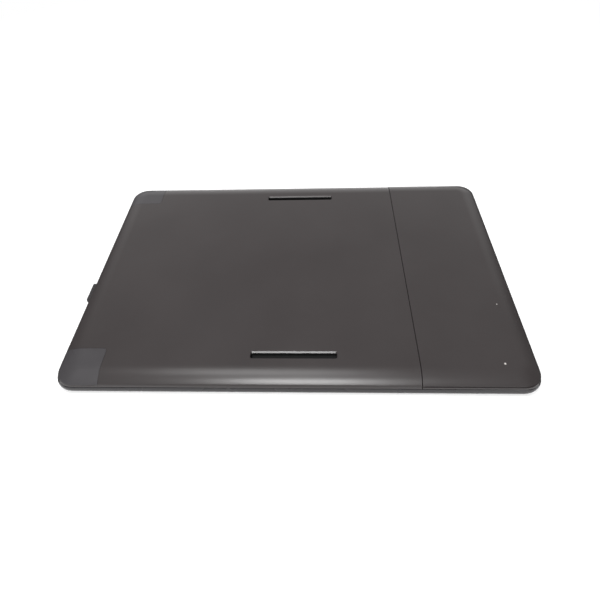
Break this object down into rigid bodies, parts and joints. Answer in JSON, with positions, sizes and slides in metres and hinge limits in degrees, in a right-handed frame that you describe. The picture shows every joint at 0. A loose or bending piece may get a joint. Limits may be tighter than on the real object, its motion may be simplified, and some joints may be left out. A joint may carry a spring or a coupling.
{
  "type": "graphics tablet with screen",
  "caption": "Flat pen display with a screen, shortcut keys, a rocker ring, a side power button, stand slots and corner pads, lying on its screen.",
  "frame": {"origin": "middle of the screen face, on the surface that the tablet lies on", "axes": "+X along the long side towards the key end, +Y across the body away from the pictured near edge, +Z out through the back"},
  "size_m": [0.3774, 0.248, 0.014],
  "materials": {
    "back_plastic": "fine satin moulded ABS and polycarbonate, charcoal",
    "bezel_plastic": "satin moulded plastic, near black",
    "tub_plastic": "moulded plastic, black",
    "pad_rubber": "matt synthetic rubber, dark grey",
    "screen_glass": "etched cover glass over an unlit screen, black border",
    "foam_tape": "black adhesive tape",
    "key_panel_plastic": "satin moulded plastic, near black",
    "key_plastic": "moulded plastic, dark grey",
    "inner_plastic": "moulded acetal, natural",
    "board_laminate": "glass-epoxy circuit board with green mask",
    "switch_metal": "stainless dome switches",
    "screw_steel": "black-oxide steel",
    "lcd_glass": "liquid crystal cell with polarisers",
    "clear_acrylic": "moulded clear acrylic",
    "lamp_strip": "white lamp strip",
    "white_film": "white reflector film",
    "sheet_steel": "plated sheet steel",
    "shield_steel": "magnetic shield sheet",
    "cast_metal": "die-cast light alloy, chromated",
    "chip_resin": "black moulding resin",
    "ribbon_film": "polyimide film with copper",
    "connector_plastic": "moulded nylon",
    "button_plastic": "satin moulded plastic, dark grey",
    "clear_pipe": "frosted clear polycarbonate",
    "socket_steel": "drawn nickel-plated steel",
    "gold_contacts": "gold-plated bronze"
  },
  "bodies": {
    "housing": {"backlight_bar": "lamp_strip", "board_screws": "screw_steel", "cable_socket": "socket_steel", "corner_pads": "pad_rubber", "cover_screws": "screw_steel", "display_board": "board_laminate", "display_board_chips": "chip_resin", "display_glass": "screen_glass", "display_ribbon": "ribbon_film", "display_tray": "sheet_steel", "flange_screws": "screw_steel", "frame_screws": "screw_steel", "front_bezel": "bezel_plastic", "glass_tape": "foam_tape", "key_board": "board_laminate", "key_board_screws": "screw_steel", "key_panel": "key_panel_plastic", "key_ribbon": "ribbon_film", "key_switches": "switch_metal", "lcd_cell": "lcd_glass", "light_guide": "clear_acrylic", "main_board": "board_laminate", "main_board_chips": "chip_resin", "middle_frame": "cast_metal", "pen_board": "board_laminate", "pen_board_chips": "chip_resin", "pen_sensor_board": "board_laminate", "power_switch": "switch_metal", "rear_cover": "back_plastic", "rear_end_cover": "back_plastic", "reflector_sheet": "white_film", "ribbon_connectors": "connector_plastic", "sensor_ribbon": "ribbon_film", "sensor_shield": "shield_steel", "slot_tub_far": "tub_plastic", "slot_tub_near": "tub_plastic", "socket_contacts": "gold_contacts", "socket_insulator": "connector_plastic", "status_led": "lamp_strip", "status_light_pipe": "clear_pipe", "video_ribbon": "ribbon_film"},
    "shortcut_key_1": {"shortcut_key_1": "key_plastic"},
    "shortcut_key_2": {"shortcut_key_2": "key_plastic"},
    "shortcut_key_3": {"shortcut_key_3": "key_plastic"},
    "shortcut_key_4": {"shortcut_key_4": "key_plastic"},
    "rocker_carrier": {"rocker_carrier": "inner_plastic"},
    "rocker_ring": {"rocker_ring": "key_plastic"},
    "home_button": {"home_button": "key_plastic"},
    "power_button": {"power_button": "button_plastic"}
  },
  "joints": [
    {"name": "shortcut_key_1_press", "type": "slide", "parent": "housing", "child": "shortcut_key_1", "axis": [0, 0, 1], "range_m": [0, 0.0005], "stiffness_N_per_m": 1200},
    {"name": "shortcut_key_2_press", "type": "slide", "parent": "housing", "child": "shortcut_key_2", "axis": [0, 0, 1], "range_m": [0, 0.0005], "stiffness_N_per_m": 1200},
    {"name": "shortcut_key_3_press", "type": "slide", "parent": "housing", "child": "shortcut_key_3", "axis": [0, 0, 1], "range_m": [0, 0.0005], "stiffness_N_per_m": 1200},
    {"name": "shortcut_key_4_press", "type": "slide", "parent": "housing", "child": "shortcut_key_4", "axis": [0, 0, 1], "range_m": [0, 0.0005], "stiffness_N_per_m": 1200},
    {"name": "home_button_press", "type": "slide", "parent": "housing", "child": "home_button", "axis": [0, 0, 1], "range_m": [0, 0.0005], "stiffness_N_per_m": 1200},
    {"name": "rocker_tilt_x", "type": "hinge", "parent": "housing", "child": "rocker_carrier", "pos_m": [0.16555, 0, 0.0055], "axis": [1, 0, 0], "range_deg": [-1, 1], "stiffness_Nm_per_rad": 0.9},
    {"name": "rocker_tilt_y", "type": "hinge", "parent": "rocker_carrier", "child": "rocker_ring", "pos_m": [0.16555, 0, 0.004], "axis": [0, 1, 0], "range_deg": [-1, 1], "stiffness_Nm_per_rad": 0.9},
    {"name": "power_button_press", "type": "slide", "parent": "housing", "child": "power_button", "axis": [1, 0, 0], "range_m": [0, 0.0006], "stiffness_N_per_m": 1500}
  ]
}
